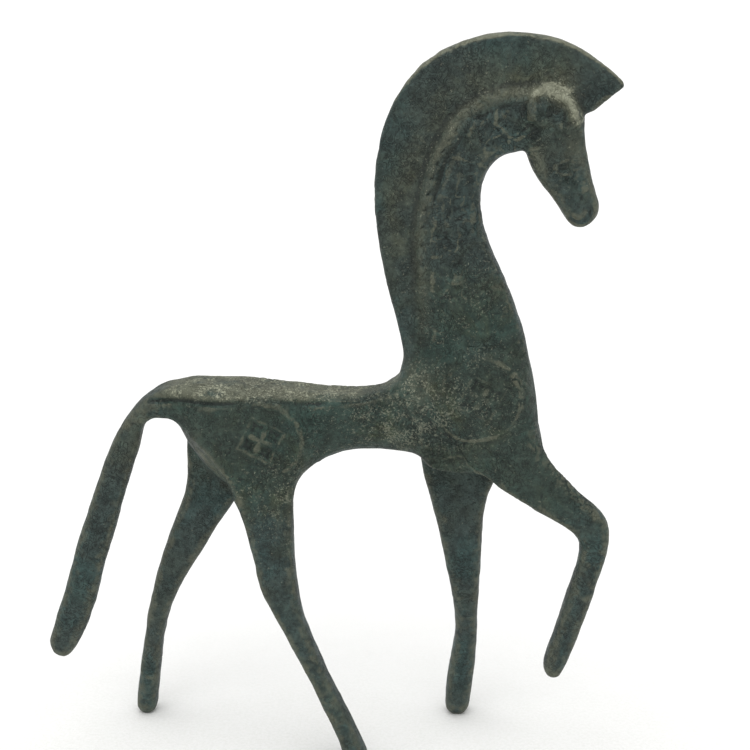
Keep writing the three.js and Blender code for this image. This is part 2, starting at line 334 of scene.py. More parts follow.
def section_blank(node, reach):
    """One main section evenly faceted, as a bmesh, with two numbers for each corner.

    They are its distance to its neighbours, up to a reach, and how squarely it faces the nearest, 0 to 1.
    """
    blank = remeshed(link("blank", joined_copy(node)), BLANK_GRAIN)
    others = tree_of([n for n in NODES if n != node and not n.endswith(SMALL)])
    bm = bmesh.new()
    bm.from_mesh(blank.data)
    drop(blank)
    bm.normal_update()
    gaps, facing = [], []
    for vert in bm.verts:
        place, _, _, gap = others.find_nearest(vert.co, reach)
        gaps.append(reach if gap is None else gap)
        facing.append(0 if gap is None else max(0, vert.normal.dot(place - vert.co) / max(gap, 0.01 * MM)))
    return bm, gaps, facing


def remeshed(obj, width):
    remesh = obj.modifiers.new("grain", "REMESH")
    remesh.mode = "VOXEL"
    remesh.voxel_size = width
    remesh.use_smooth_shade = True
    return settle(obj)


def softened(obj, rounds):
    smooth = obj.modifiers.new("soften", "SMOOTH")
    smooth.factor = 0.5
    smooth.iterations = rounds
    return settle(obj)


def numbers(items, name, kind, width=1):
    """One number, or row of numbers, for each item of a mesh."""
    values = np.empty(len(items) * width, kind)
    items.foreach_get(name, values)
    return values.reshape(-1, width) if width > 1 else values


def step(values, low, high):
    """Runs smoothly from 0 at low to 1 at high."""
    t = np.clip((values - low) / (high - low), 0, 1)
    return t * t * (3 - 2 * t)


def bell(values, width):
    return np.exp(-((values / width) ** 2))


class Noise:
    """Smooth seeded noise from -1 to 1 through space, whose lumps are about one size across."""

    CELLS = 32

    def __init__(self, seed):
        self.lattice = np.random.default_rng(seed).uniform(-1, 1, (self.CELLS,) * 3)

    def __call__(self, points, size):
        place = points / size
        cell = np.floor(place).astype(int)
        part = place - cell
        part = part * part * (3 - 2 * part)
        total = np.zeros(len(points))
        for corner in np.ndindex(2, 2, 2):
            weight = np.prod([part[:, k] if c else 1 - part[:, k] for k, c in enumerate(corner)], axis=0)
            index = [(cell[:, k] + c) % self.CELLS for k, c in enumerate(corner)]
            total += weight * self.lattice[index[0], index[1], index[2]]
        return total


def worms(points, size, seed):
    """1 along wandering threads about as far apart as the size, and 0 between them."""
    bend = np.column_stack([Noise(seed + k)(points, size * 1.3) for k in (1, 2, 3)])
    return bell(Noise(seed)(points + bend * size * 0.45, size), 0.17)


class Skin:
    """The casting's surface as arrays in millimetres, with y counted from the horse's middle plane."""

    def __init__(self):
        self.mesh = bpy.data.objects[CASTING].data
        self.points = numbers(self.mesh.vertices, "co", float, 3) / MM
        self.points[:, 1] -= MIDDLE
        self.read_normals()

    def read_normals(self):
        self.normals = numbers(self.mesh.vertex_normals, "vector", float, 3)

    def write(self):
        out = self.points.copy()
        out[:, 1] += MIDDLE
        self.mesh.vertices.foreach_set("co", (out * MM).ravel())
        self.mesh.update()

    def press(self, height):
        """Moves the surface out by a height at each point, in millimetres."""
        self.points += self.normals * height[:, None]
        self.write()
        self.read_normals()

    def evened(self, values, rounds):
        """Values averaged with their neighbours' over and over."""
        edges = numbers(self.mesh.edges, "vertices", int, 2)
        count = len(values)
        shares = np.bincount(edges.ravel(), minlength=count).astype(float)
        columns = [column.copy() for column in np.atleast_2d(values.T)]
        for _ in range(rounds):
            for k, column in enumerate(columns):
                columns[k] = (
                    np.bincount(edges[:, 0], column[edges[:, 1]], count)
                    + np.bincount(edges[:, 1], column[edges[:, 0]], count)
                ) / shares
        return np.array(columns).T.reshape(values.shape)

    def side(self, side):
        """1 on the flat of one side of the horse, and 0 on edges and on the other side."""
        return step(self.normals[:, 1] * side, 0.25, 0.7) * (self.points[:, 1] * side > 0)

    def sides(self):
        return self.side(RIGHT) + self.side(LEFT)

    def from_path(self, path):
        """Each point's distance from a line drawn on the side, and how far along the line it is, 0 to 1."""
        xz = self.points[:, [0, 2]]
        best = np.full(len(xz), np.inf)
        along = np.zeros(len(xz))
        count = len(path) - 1
        for i, (start, end) in enumerate(zip(path, path[1:])):
            a, b = np.array(start), np.array(end)
            way = b - a
            t = np.clip((xz - a) @ way / (way @ way), 0, 1)
            gap = np.linalg.norm(xz - a - t[:, None] * way, axis=1)
            nearer = gap < best
            best[nearer] = gap[nearer]
            along[nearer] = (i + t[nearer]) / count
        return best, along

    def from_crest(self):
        """Distance from the neck's crest, below 0 on the mane's side, and how far along it, 0 to 1."""
        crest = np.array(neck_crest())
        gap, along = self.from_path([tuple(q) for q in crest])
        centre = np.array(at("neck", (1.1, 0.5))[0])
        nearest = crest[np.clip(np.rint(along * (len(crest) - 1)).astype(int), 0, len(crest) - 1)]
        inside = np.hypot(*(self.points[:, [0, 2]] - centre).T) < np.hypot(*(nearest - centre).T)
        return np.where(inside, gap, -gap), along

    def from_spot(self, x, z):
        return np.hypot(self.points[:, 0] - x, self.points[:, 2] - z)

    def spot(self, node, fx, fz, width):
        """1 at a place on a section, given as shares of its box, and less about it."""
        return bell(self.from_spot(*at(node, (fx, fz))[0]), width)

    def line(self, path, width, height, side, fade=0.12):
        """Height of a raised (or, below 0, sunk) line on one side, fading out at both ends."""
        gap, along = self.from_path(path)
        ends = step(along, 0, fade) * step(1 - along, 0, fade) if fade else 1
        return height * bell(gap, width) * ends * self.side(side)


def curve_through(points, count=24):
    """Points on a smooth line through a few given ones."""
    p = [np.array(q, float) for q in points]
    p = [2 * p[0] - p[1], *p, 2 * p[-1] - p[-2]]
    out = []
    spans = len(points) - 1
    for i in range(count + 1):
        t = i / count * spans
        k = min(int(t), spans - 1)
        u = t - k
        a, b, c, d = p[k : k + 4]
        out.append(
            0.5 * (2 * b + (c - a) * u + (2 * a - 5 * b + 4 * c - d) * u**2 + (3 * b - a - 3 * c + d) * u**3)
        )
    return [tuple(q) for q in out]


# The lines that the modelling follows.
def back_crease():
    """Under the back's bar, from the tail's root to the withers."""
    return curve_through(
        at("trunk", (-0.09, 0.79), (-0.043, 0.80), (0.047, 0.812), (0.138, 0.812), (0.247, 0.816),
           (0.345, 0.835), (0.428, 0.832), (0.483, 0.81), (0.591, 0.816), (0.698, 0.843),
           (0.789, 0.902), (0.842, 0.957)), 33
    )


def neck_crest():
    """Along the step from the mane to the neck, from the withers up and over to the poll."""
    return curve_through(
        at("neck", (0.10, 0.30), (0.10, 0.40), (0.08, 0.53), (0.075, 0.645), (0.115, 0.746), (0.183, 0.832),
           (0.286, 0.898), (0.385, 0.939), (0.524, 0.969), (0.663, 0.982), (0.802, 0.984))
    )


def haunch_edge():
    """Along the near thigh's rear edge, from under the tail to the crotch."""
    return curve_through(
        at("right_hind_leg", (-0.03, 0.90), (0.006, 0.881), (0.101, 0.838), (0.189, 0.777), (0.265, 0.724))
    )


def ear_rim():
    return curve_through(
        at("head", (0.03, 0.80), (0.045, 0.92), (0.14, 0.985), (0.30, 0.985), (0.45, 0.94), (0.57, 0.874),
           (0.64, 0.79)), 20
    )


# --------------------------------------------------------------------------------------------------
# Modelling, section by section


class HORSE_OT_pour(Operator):
    """Join the founder's sections into one skin, and blend the joints"""

    bl_idname = "horse.pour"
    bl_label = "Pour the casting"

    def execute(self, context):
        casting = context.scene.horse_casting
        swell = casting.gap_fill / MM
        whole = bmesh.new()
        joints = []
        for node in sorted(NODES):
            if node.endswith(SMALL):
                mesh = joined_copy(node, (swell + 0.05) * MM)
            else:
                bm, gaps, facing = section_blank(node, 3 * MM)
                gaps = np.array(gaps) / MM
                fill = gaps / 2 * step(np.array(facing), 0.2, 0.7) * (1 - step(gaps, 0.9, 1.8))
                joints += [vert.co.copy() for vert, gap in zip(bm.verts, gaps) if gap < 1.3]
                push(bm, (swell + fill) * MM)
                mesh = baked(bm, "section")
            whole.from_mesh(mesh)
            bpy.data.meshes.remove(mesh)
        obj = softened(remeshed(link(CASTING, baked(whole, CASTING)), casting.grain), 1)
        skin = Skin()
        skin.press(np.full(len(skin.points), -swell))
        self.blend(obj, skin, joints, casting.blending)
        softened(obj, casting.softening)
        return {"FINISHED"}

    def blend(self, obj, skin, joints, rounds):
        """Smooths the joints away, but leaves the outline and keeps some of the step beside the mane."""
        finder = KDTree(len(joints))
        for i, place in enumerate(joints):
            finder.insert(place, i)
        finder.balance()
        gap = np.array([finder.find(vert.co)[2] for vert in obj.data.vertices]) / MM
        weight = 1 - step(gap, 1.2, 3.0)
        _, y, z = skin.points.T
        neck_low = span("neck")[0][2]
        weight *= 1 - 0.75 * step(z, neck_low + 30, neck_low + 40)
        for node in (n for n in NODES if n.endswith(SMALL)):
            low, high = span(node)
            side = side_of(node)
            radius = (high[0] - low[0]) / 2
            (cx, cz), = at(node, (0.5, 0.5))
            spot = (1 - step(skin.from_spot(cx, cz), radius + 0.8, radius + 2.2)) * (y * side > 1)
            weight = np.maximum(weight, spot)
        facing = np.abs(skin.evened(skin.normals, 9)[:, 1])
        weight *= 0.14 + 0.86 * step(facing, 0.25, 0.5)
        bends = at("tail", (0.93, 0.97)) + at("trunk", (0.35, 1.0), (0.86, 1.0), (0.92, 0.32), (0.46, 0.16))
        for bend in bends + at("neck", (0.83, 0.38), (0.99, 0.06)):
            weight = np.maximum(weight, bell(skin.from_spot(*bend), 5.5))
        group = obj.vertex_groups.new(name="blend")
        level = np.round(weight * 8).astype(int)
        for k in range(1, 9):
            group.add([int(i) for i in np.flatnonzero(level == k)], k / 8, "REPLACE")
        smooth = obj.modifiers.new("blend", "SMOOTH")
        smooth.factor = 0.5
        smooth.iterations = rounds
        smooth.vertex_group = "blend"
        settle(obj)
        obj.vertex_groups.clear()


class HORSE_OT_trunk(Operator):
    """Swell the back into a rounded bar over hollowed flanks"""

    bl_idname = "horse.trunk"
    bl_label = "Trunk"

    def execute(self, context):
        relief = context.scene.horse_relief
        skin = Skin()
        x, _, z = skin.points.T
        knots = np.array(back_crease())
        above = z - np.interp(x, knots[:, 0], knots[:, 1])
        bottom = span("trunk")[0][2]
        here = step(x, knots[0][0] - 2, knots[0][0] + 2) * step(-x, -knots[-1][0] - 0.5, -knots[-1][0] + 4)
        outward = np.clip(np.abs(skin.normals[:, 1]) * 1.7, 0, 1)
        waver = 1 + 0.25 * Noise(3)(skin.points, 5.0)
        bar = bell(above - 1.7, 1.5) * here * outward * waver * relief.bar_swell / MM
        start, end = at("trunk", (0.5, 0.5), (0.93, 0.5))
        hollow = step(-above, 0.1, 3.0) * step(z, bottom + 3, bottom + 10)
        hollow *= step(x, start[0], start[0] + 4) * step(-x, -end[0], 5 - end[0])
        both = skin.sides()
        withers = 1.3 * skin.spot("trunk", 0.845, 1.02, 2.6)
        # The croup falls gently from the tail's root to the loin.
        (croup, top), (loin, _) = at("trunk", (0.17, 1.0), (0.345, 1.0))
        fall = (0.25 * bell(x - croup, 7) + 0.5 * bell(x - loin, 2.8)) * step(skin.normals[:, 2], 0.2, 0.6)
        fall *= step(z, top - 4, top - 2)
        skin.press(bar + withers - fall - hollow * both * relief.flank_hollow / MM)
        # The crease is sharp behind the thigh's ring, swells over it, and softens towards the neck.
        ring_x = at("right_haunch_medallion", (0.5, 0.5))[0][0]
        depth = relief.crease_depth / MM * (1 - 0.75 * bell(x - ring_x + 1, 5.0))
        depth *= 1 - 0.45 * step(x, ring_x, ring_x + 6)
        depth *= 0.8 + 0.35 * Noise(4)(skin.points, 3.0)
        crease = back_crease()
        lines = sum(skin.line(crease, 0.62, -1.0, side, 0.07) for side in (RIGHT, LEFT))
        bump = 0.3 * bell(skin.from_spot(ring_x, knots[12][1] + 1.2), 2.4) * both
        skin.press(lines * depth + bump)
        return {"FINISHED"}


class HORSE_OT_neck(Operator):
    """Roughen the neck between its crest and the smooth throat"""

    bl_idname = "horse.neck"
    bl_label = "Neck"

    def execute(self, context):
        relief = context.scene.horse_relief
        skin = Skin()
        x, _, z = skin.points.T
        signed, along = skin.from_crest()
        both = skin.sides()
        low, high = span("neck")
        here = step(z, low[2] + 22, low[2] + 36)
        band = step(signed, 0.6, 1.6) * step(-signed, -10, -6) * here * (x < high[0] + 1)
        rough = Noise(5)(skin.points * [1, 0.6, 0.7], 2.6) + 0.45 * worms(skin.points * [1, 0.6, 0.8], 2.0, 7)
        height = relief.neck_lumps / MM * band * rough
        height += 0.5 * bell(signed + 0.9, 0.95) * step(along, 0.04, 0.3)
        broken = 0.55 + 0.45 * Noise(8)(skin.points, 3.0)
        height -= 0.7 * bell(signed - 1.0, 0.8) * step(along, 0.28, 0.5) * step(1 - along, 0, 0.2) * broken
        skin.press(height * both)
        return {"FINISHED"}


class HORSE_OT_head(Operator):
    """Cut the ear, the eye, the cheek and the muzzle"""

    bl_idname = "horse.head"
    bl_label = "Head, ears and eyes"

    def execute(self, context):
        skin = Skin()
        x, _, z = skin.points.T
        height = np.zeros(len(skin.points))
        for side, word in ((RIGHT, "right"), (LEFT, "left")):
            flat = skin.side(side)
            (eye_x, eye_z), = at(f"{word}_eye", (0.45, 0.35))
            dx, dz = x - eye_x, z - eye_z
            almond = np.hypot((dx + 0.3 * dz) / 1.35, (dz - 0.3 * dx) / 0.75)
            height += (-0.45 * bell(almond, 0.9) + 0.14 * bell(almond - 1.8, 0.6) * (dz > -0.6)) * flat
            for path, width, lift in (
                (at("head", (0.37, 0.50), (0.38, 0.44), (0.45, 0.405), (0.60, 0.40)), 0.5, 0.2),
                (at("head", (0.45, 0.385), (0.56, 0.355), (0.66, 0.325), (0.76, 0.285)), 0.6, -0.38),
                (at("head", (0.64, 0.345), (0.74, 0.31), (0.82, 0.27)), 0.5, 0.24),
                (at("head", (0.28, 0.47), (0.34, 0.41), (0.40, 0.33)), 0.6, -0.16),
                (at("head", (0.76, 0.26), (0.74, 0.20)), 0.5, -0.22),
            ):
                height += skin.line(curve_through(path, 10), width, lift, side, 0.25)
            (nose_x, nose_z), = at("head", (0.735, 0.125))
            facet = skin.from_spot(nose_x, nose_z) * (1 + 0.1 * Noise(9)(skin.points, 2.0))
            lower = step((x - nose_x) * 0.7 - (z - nose_z), -1.6, 1.4)
            height += (-0.3 * bell(facet - 1.9, 0.55) * lower + 0.06 * bell(facet, 1.4)) * flat
            jaw = at("head", (0.2, 0.5), (0.3, 0.36), (0.42, 0.22), (0.50, 0.1))
            height += skin.line(curve_through(jaw, 12), 0.45, -0.14, side, 0.2)
            height += self.ear(skin, side, word)
        skin.press(height)
        return {"FINISHED"}

    def ear(self, skin, side, word):
        """A hollow under a worn arch that leans towards the muzzle."""
        x, y, z = skin.points.T
        (ear_x, ear_z), = at(f"{word}_ear", (0.46, 0.58))
        lean = math.radians(20)
        dx, dz = x - ear_x, z - ear_z
        across = dx * math.cos(lean) - dz * math.sin(lean)
        up = dx * math.sin(lean) + dz * math.cos(lean)
        hollow = np.hypot(across / 2.3, np.where(up > 0, up / 2.1, up / 3.4))
        near = (y * side > 1.5) * 1.0
        rim = skin.from_path(ear_rim())[0]
        rough = 1 + 0.5 * Noise(10)(skin.points, 1.3)
        below = 0.45 * bell(np.hypot(across / 3.4, (up + 4.2) / 2.2), 1.0)
        pits = 0.25 * bell(skin.from_spot(ear_x - 1.2, ear_z - 0.6), 1.0)
        sunk = (0.68 * bell(hollow, 0.95) + below + pits) * skin.side(side)
        return near * (0.85 * bell(rim, 0.8) * rough - sunk)


class HORSE_OT_legs(Operator):
    """Bevel the slabs' rear edges, draw the raised lines and round the soles"""

    bl_idname = "horse.legs"
    bl_label = "Legs"

    def execute(self, context):
        height = context.scene.horse_relief.seam_height / MM
        skin = Skin()
        y = skin.points[:, 1]
        gap, along = skin.from_path(haunch_edge())
        outer = (skin.normals[:, 1] < 0.1) & (y < -2)
        bevel = np.clip(1.0 - gap, 0, None) * step(along, 0.0, 0.7) * step(1 - along, 0, 0.12) * outer
        total = -0.6 * bevel
        far_haunch = at("left_hind_leg", (0.98, 0.9), (0.9, 0.82), (0.78, 0.755), (0.68, 0.70))
        total += skin.line(curve_through(far_haunch), 0.6, height, LEFT)
        shoulder = at(
            "right_foreleg", (-0.017, 0.80), (0.065, 0.782), (0.135, 0.746), (0.20, 0.735), (0.30, 0.74),
            (0.40, 0.755),
        )
        total += skin.line(curve_through(shoulder), 0.55, height, RIGHT, 0.15)
        elbow = at(
            "right_foreleg", (-0.05, 0.665), (0.068, 0.668), (0.175, 0.684), (0.214, 0.661), (0.256, 0.639),
            (0.349, 0.609),
        )
        total += skin.line(curve_through(elbow), 0.5, height * 0.6, RIGHT, 0.15)
        far_shoulder = at("left_foreleg", (0.9, 0.80), (0.8, 0.75), (0.6, 0.73), (0.4, 0.74))
        total += skin.line(curve_through(far_shoulder), 0.6, height * 0.7, LEFT)
        skin.press(total)
        # The soles' edges are rounded by sliding them in towards each foot's middle.
        for node in ("right_hind_leg", "left_hind_leg", "left_foreleg"):
            points = skin.points
            low, high = span(node)
            foot = (points[:, 2] < SOLE_ROUND) & (points[:, 0] > low[0] - 2) & (points[:, 0] < high[0] + 2)
            foot &= (points[:, 1] + MIDDLE > low[1] - 2) & (points[:, 1] + MIDDLE < high[1] + 2)
            centre = points[foot][:, :2].mean(axis=0)
            pull = SOLE_PULL * (1 - points[foot][:, 2] / SOLE_ROUND) ** 2
            points[foot, :2] += (centre - points[foot, :2]) * pull[:, None]
            points[foot, 2] = np.maximum(points[foot, 2], 0)
        skin.write()
        return {"FINISHED"}


class HORSE_OT_mane(Operator):
    """Give the mane its faint strokes"""

    bl_idname = "horse.mane"
    bl_label = "Mane"

    def execute(self, context):
        skin = Skin()
        low = span("mane")[0]
        gap, along = skin.from_path(neck_crest())
        y, z = skin.points[:, 1], skin.points[:, 2]
        outside = (np.abs(y) < 3.3) & (z > low[2] + 4)
        both = skin.sides()
        strokes = Noise(11)(np.column_stack([gap * 0.55, along * 70, y]), 1.6)
        skin.press(0.08 * strokes * both * outside)
        return {"FINISHED"}


class HORSE_OT_tail(Operator):
    """Furrow the tail a little along its length"""

    bl_idname = "horse.tail"
    bl_label = "Tail"

    def execute(self, context):
        skin = Skin()
        front = span("tail")[1][0]
        here = step(-skin.points[:, 0], -front, -front + 3)
        both = skin.sides()
        furrow = Noise(12)(skin.points * [1, 0.4, 0.35], 1.9)
        skin.press(0.09 * furrow * here * both)
        return {"FINISHED"}


class HORSE_OT_medallions(Operator):
    """Draw the rings and the quartered squares on thighs and shoulders"""

    bl_idname = "horse.medallions"
    bl_label = "Medallions"

    def execute(self, context):
        relief = context.scene.horse_relief
        skin = Skin()
        half = relief.window_half / MM
        total = np.zeros(len(skin.points))
        waver = 0.45 * Noise(21)(skin.points, 4.0) + 0.15 * Noise(24)(skin.points, 1.2)
        worn = np.clip(0.8 + 0.4 * Noise(22)(skin.points, 3.4), 0.4, 1.15)
        for node in medallions():
            side = side_of(node)
            low, high = span(node)
            (x, z), = at(node, (0.5, 0.5))
            dx, dz = skin.points[:, 0] - x, skin.points[:, 2] - z
            gap = np.hypot(dx, dz) + waver
            radius = (high[0] - low[0]) / 2 + 0.1
            # The ring is clear towards the head and all but rubbed away towards the tail.
            clear = step(dx / radius + 0.25 * dz / radius, -0.7, 0.45)
            ring = relief.ring_height / MM * bell(gap - radius, 0.75) * (0.25 + 0.75 * clear) * worn
            moat = -0.1 * bell(gap - radius + 1.5, 0.8) * (0.3 + 0.9 * clear)
            # Seen from outside, the square is turned clockwise on both sides.
            turn = relief.window_turn
            ahead = dx * -side
            u = ahead * math.cos(turn) - dz * math.sin(turn) + waver * 0.5
            w = ahead * math.sin(turn) + dz * math.cos(turn) - waver * 0.5
            u, w = np.abs(u), np.abs(w)
            wall = np.minimum.reduce([np.abs(u - half), np.abs(w - half), u, w])
            inside = step(half + 0.3 - np.maximum(u, w), 0, 0.5)
            quarters = -relief.window_height / MM * step(wall, 0.25, 1.2) * inside * (0.8 + 0.2 * worn)
            border = 0.11 * bell(np.abs(np.maximum(u, w) - half), 0.42)
            kept = 0.75 if "shoulder" in node else 0.95
            total += (ring + moat + quarters + border) * kept * skin.side(side)
        skin.press(total)
        return {"FINISHED"}


class HORSE_OT_surface(Operator):
    """Give the skin the unevenness of a wax model, and note where it is worn, where light and shade are
    painted and where dust lies
    """

    bl_idname = "horse.surface"
    bl_label = "Cast surface"

    def execute(self, context):
        casting = context.scene.horse_casting
        skin = Skin()
        points = skin.points
        broad = Noise(31)(points, 6.5) + 0.7 * Noise(32)(points, 3.1)
        fine = Noise(33)(points, 1.4) + 0.5 * Noise(34)(points, 0.8)
        patches = step(Noise(35)(points, 8.0) + 0.4 * Noise(38)(points, 3.0), -0.25, 0.45)
        strokes = worms(points, 2.1, 51) * 0.35 - worms(points, 1.25, 61)
        height = casting.lump_height / MM * (broad + 0.5 * fine * (0.5 + 0.5 * patches))
        height += casting.stroke_depth / MM * strokes * (0.12 + 0.88 * patches * self.worked(skin))
        calm = step(points[:, 2], 0.15, 1.2)
        skin.press(height * calm)
        skin.points[:, 2] = np.maximum(skin.points[:, 2], 0)
        skin.write()
        self.note_wear_and_light(skin)
        return {"FINISHED"}

    def body(self, x, z):
        """1 on the body and above it, and 0 on the tail and the shanks."""
        low, rear = span("neck")[0][2], span("trunk")[0][0]
        return step(z, low - 12, low - 2) * step(x, rear - 4, rear + 2)

    def worked(self, skin):
        """How heavily the wax was worked: most on the body and neck, least on the mane, tail and shanks."""
        x, y, z = skin.points.T
        body = self.body(x, z)
        calm = np.ones(len(x))
        for node in medallions():
            side = side_of(node)
            spot = skin.from_spot(*at(node, (0.5, 0.5))[0])
            calm -= 0.65 * (1 - step(spot, 5.0, 7.0)) * (y * side > 0)
        return body * calm * (0.45 + 0.55 * (np.abs(y) > 2.9))

    def note_wear_and_light(self, skin):
        """Stores how proud or sunk each point is, where hands have worn the horse or light and shade are
        painted, and where pale dust clings.
        """
        x, y, z = skin.points.T
        fine = skin.evened(skin.points, 6)
        coarse = skin.evened(fine, 34)
        near, far = (np.einsum("ij,ij->i", skin.points - even, skin.normals) for even in (fine, coarse))
        crest = np.clip(0.5 + near * 3.2 + far * 0.5, 0, 1)
        low, high = span("trunk")
        loin = low[0] + 0.87 * (high[0] - low[0])
        behind = step(-x, -loin, 6 - loin)
        above = z - np.interp(x, *np.array(back_crease()).T)
        bar = step(above, -0.3, 1.2) * behind * step(x, low[0] - 5, low[0] + 3)
        bar *= step(z, low[2] + 15, low[2] + 19)
        bar *= step(-z, -high[2] - 4, -high[2] - 1.5)
        signed, along = skin.from_crest()
        arch = bell(signed + 0.8, 1.3) * step(along, 0.02, 0.25) * (np.abs(y) > 1.5)
        withers = skin.spot("trunk", 0.9, 0.97, 3.6)
        rim, round_rim = skin.from_path(ear_rim())
        ear = 1.5 * bell(rim, 1.0) * step(round_rim, 0.05, 0.35) + 0.5 * skin.spot("head", 0.42, 1.0, 3.0)
        ear *= step(np.abs(y), 1.5, 2.2)
        plate = (z > span("neck")[0][2] + 25) * (signed < -3)
        crest = 0.5 + (crest - 0.5) * (1 - 0.6 * plate)
        # Painted highlight: the mane plate's faces that turn upwards are made lighter, as if lit from above.
        lit_tops_and_rims = 1.25 * step(skin.normals[:, 2], 0.33, 0.62) * plate
        # Lighter lines along the jaw's underside and the front of the head are added to them.
        under = at("head", (0.16, 0.52), (0.27, 0.36), (0.40, 0.2), (0.52, 0.05))
        front = at("head", (0.72, 0.5), (0.85, 0.34), (0.97, 0.17), (0.98, 0.08))
        jaw, nose = (skin.from_path(curve_through(path, 12))[0] for path in (under, front))
        lit_tops_and_rims = np.maximum(lit_tops_and_rims, 0.55 * (bell(jaw, 0.8) + bell(nose, 0.6)))
        # Painted highlight: the front bevel along the near thigh's rear edge is made lighter, as if catching
        # the light.
        seam, along_seam = skin.from_path(haunch_edge())
        seam_highlight = 0.8 * bell(seam - 0.7, 0.7) * step(along_seam, 0.15, 0.5)
        seam_highlight *= step(-skin.normals[:, 1], 0.5, 0.8)
        lit_tops_and_rims = np.maximum(lit_tops_and_rims, seam_highlight * (y < -2))
        # Painted highlight: a lighter spot on the cheek, where it turns up to the light.
        cheek = 0.4 * skin.spot("head", 0.66, 0.57, 2.8)
        # Painted light: the far thigh is lightened to lift the shade that falls on it.
        far_thigh_light = 0.3 * skin.spot("left_hind_leg", 0.59, 0.81, 6) * (y > -1)
        arch *= 0.42 + 0.3 * step(along, 0.45, 0.75)
        # Rubbing on the back, the crest, the withers and the ear, together with the painted highlights and
        # lifted shade above.
        rub_and_painted_light = np.clip(bar + arch + 0.6 * withers + lit_tops_and_rims + cheek + far_thigh_light, 0, 1.2) + ear
        # Painted shade darkens the narrow face behind the thigh's edge, the fold under the shoulder is plain,
        # and a painted highlight lightens the lower cheek.
        shade = (seam < 5) * (y < 2) * step(skin.normals[:, 1], -0.75, -0.45)
        crest += (0.34 - crest) * shade
        crest += (0.5 - crest) * skin.spot("right_foreleg", 0.13, 0.61, 3.5)
        crest += (0.68 - crest) * 0.55 * skin.spot("head", 0.6, 0.34, 3.2)
        chest = skin.spot("trunk", 0.80, 0.62, 9)
        root = skin.spot("trunk", 0.98, 0.85, 8)
        thigh = skin.spot("right_hind_leg", 0.55, 0.72, 12)
        nape = skin.spot("neck", 0.42, 0.45, 12)
        shoulder = skin.spot("right_foreleg", 0.35, 0.82, 8)
        dust = 0.14 + 0.2 * self.worked(skin) + 0.6 * bar + 0.65 * chest + 0.5 * root
        dust += 0.5 * thigh + 0.25 * nape + 0.25 * shoulder + ear
        dust += 0.3 * bell(signed + 3.2, 3.0) * (np.abs(y) > 1) * step(along, 0.1, 0.4)
        # Brown shows through beside the crest, on the jaw and at the top of the tail.
        warm = bell(signed + 4.5, 4.0) * (signed < 0) * step(along, 0.1, 0.3)
        warm += 0.8 * skin.spot("head", 0.22, 0.6, 4) * (signed > 0)
        warm += 0.8 * skin.spot("tail", 0.74, 0.82, 8)
        # The body is greener and darker than the neck's top, the mane, the tail and the shanks.
        low = span("neck")[0][2]
        moss = self.body(x, z) * step(-z, -low - 50, -low - 26) * step(np.abs(y), 2.0, 3.2)
        for name, values in zip(WEAR_AND_LIGHT_LAYERS, (crest, rub_and_painted_light, np.clip(dust, 0, 1), moss, np.clip(warm, 0, 1))):
            layer = skin.mesh.attributes.new(name, "FLOAT", "POINT")
            layer.data.foreach_set("value", values.astype(np.float32))


# --------------------------------------------------------------------------------------------------
# Patina


class Tree:
    """Short calls for building a node tree."""

    def __init__(self, tree):
        self.tree = tree

    def node(self, kind, **values):
        made = self.tree.nodes.new(kind)
        for name, value in values.items():
            setattr(made, name, value)
        return made

    def join(self, source, target):
        self.tree.links.new(source, target)

    def feed(self, socket, value):
        """Links an output to a socket, or sets the socket's own value."""
        if isinstance(value, bpy.types.NodeSocket):
            self.join(value, socket)
        elif value is not None:
            socket.default_value = value

    def noise(self, vector, scale, detail=3.0, roughness=0.55, distortion=0.0):
        made = self.node("ShaderNodeTexNoise")
        self.feed(made.inputs["Vector"], vector)
        for name, value in (
            ("Scale", scale), ("Detail", detail), ("Roughness", roughness), ("Distortion", distortion)
        ):
            made.inputs[name].default_value = value
        return made.outputs["Fac"]

    def ramp(self, value, low, high, out_low=0.0, out_high=1.0):
        made = self.node("ShaderNodeMapRange", interpolation_type="SMOOTHSTEP")
        self.feed(made.inputs["Value"], value)
        for name, number in (
            ("From Min", low), ("From Max", high), ("To Min", out_low), ("To Max", out_high)
        ):
            self.feed(made.inputs[name], number)
        return made.outputs["Result"]

    def math(self, operation, a, b=None, clamp=False):
        made = self.node("ShaderNodeMath", operation=operation, use_clamp=clamp)
        self.feed(made.inputs[0], a)
        self.feed(made.inputs[1], b)
        return made.outputs[0]

    def times(self, a, b, clamp=False):
        return self.math("MULTIPLY", a, b, clamp)

    def mix(self, factor, a, b, blend="MIX"):
        made = self.node("ShaderNodeMix", data_type="RGBA", blend_type=blend)
        self.feed(made.inputs["Factor"], factor)
        self.feed(made.inputs["A"], a)
        self.feed(made.inputs["B"], b)
        return made.outputs["Result"]

    def attribute(self, name):
        return self.node("ShaderNodeAttribute", attribute_name=name).outputs["Fac"]


    def bump(self, height, strength, distance, shader):
        """Roughens a shader's surface by a height."""
        made = self.node("ShaderNodeBump")
        made.inputs["Strength"].default_value = strength
        made.inputs["Distance"].default_value = distance
        self.join(height, made.inputs["Height"])
        self.join(made.outputs["Normal"], shader.inputs["Normal"])


def new_material(name):
    material = bpy.data.materials.new(name)
    material.use_nodes = True
    return material, Tree(material.node_tree), material.node_tree.nodes["Principled BSDF"]


def new_group(name, inputs, outputs):
    """A shader node group with named sockets: (name, socket type, default)."""
    group = bpy.data.node_groups.new(name, "ShaderNodeTree")
    for direction, sockets in (("INPUT", inputs), ("OUTPUT", outputs)):
        for label, kind, default in sockets:
            socket = group.interface.new_socket(name=label, in_out=direction, socket_type=kind)
            if default is not None:
                socket.default_value = default
    tree = Tree(group)
    return group, tree, tree.node("NodeGroupInput").outputs, tree.node("NodeGroupOutput").inputs


FLOAT, COLOUR, VECTOR = "NodeSocketFloat", "NodeSocketColor", "NodeSocketVector"


